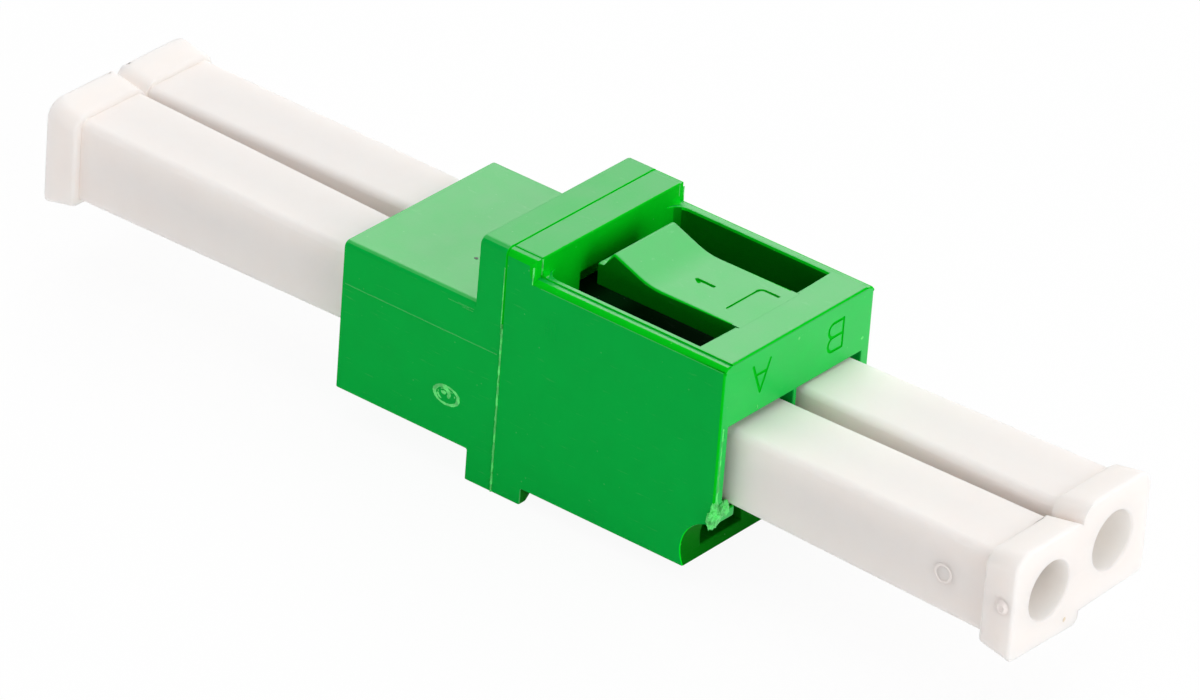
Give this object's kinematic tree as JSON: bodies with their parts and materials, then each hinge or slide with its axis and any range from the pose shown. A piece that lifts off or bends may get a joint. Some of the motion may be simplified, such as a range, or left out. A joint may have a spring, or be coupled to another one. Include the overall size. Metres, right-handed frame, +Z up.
{
  "type": "lc duplex fibre adapter",
  "caption": "Green snap-in fibre optic coupler for a panel, joining paired LC plugs, with a sprung latch tongue and white pull-out dust caps in its ports.",
  "frame": {"origin": "on the panel seat, the front face of the flange, on the centre plane between the two ports and at the height of the fibre axes", "axes": "+X along the fibres out of the front ports, +Z up towards the latch tongue, +Y to the port marked B"},
  "size_m": [0.0735, 0.014, 0.0164],
  "materials": {
    "green_moulding": "satin as moulded",
    "white_cap": "soft satin as moulded",
    "white_ceramic": "polished"
  },
  "bodies": {
    "adapter": {"front_housing": "green_moulding", "rear_housing": "green_moulding", "sleeve_a": "white_ceramic", "sleeve_b": "white_ceramic"},
    "latch": {"panel_latch": "green_moulding"},
    "front_cap": {"front_dust_cap": "white_cap"},
    "rear_cap": {"rear_dust_cap": "white_cap"}
  },
  "joints": [
    {"name": "latch_flex", "type": "hinge", "parent": "adapter", "child": "latch", "pos_m": [0.01154, 0, 0.00655], "axis": [0, -1, 0], "range_deg": [0, 7], "stiffness_Nm_per_rad": 0.9},
    {"name": "front_cap_slide", "type": "slide", "parent": "adapter", "child": "front_cap", "axis": [1, 0, 0], "range_m": [0, 0.02]},
    {"name": "rear_cap_slide", "type": "slide", "parent": "adapter", "child": "rear_cap", "axis": [-1, 0, 0], "range_m": [0, 0.02]}
  ]
}
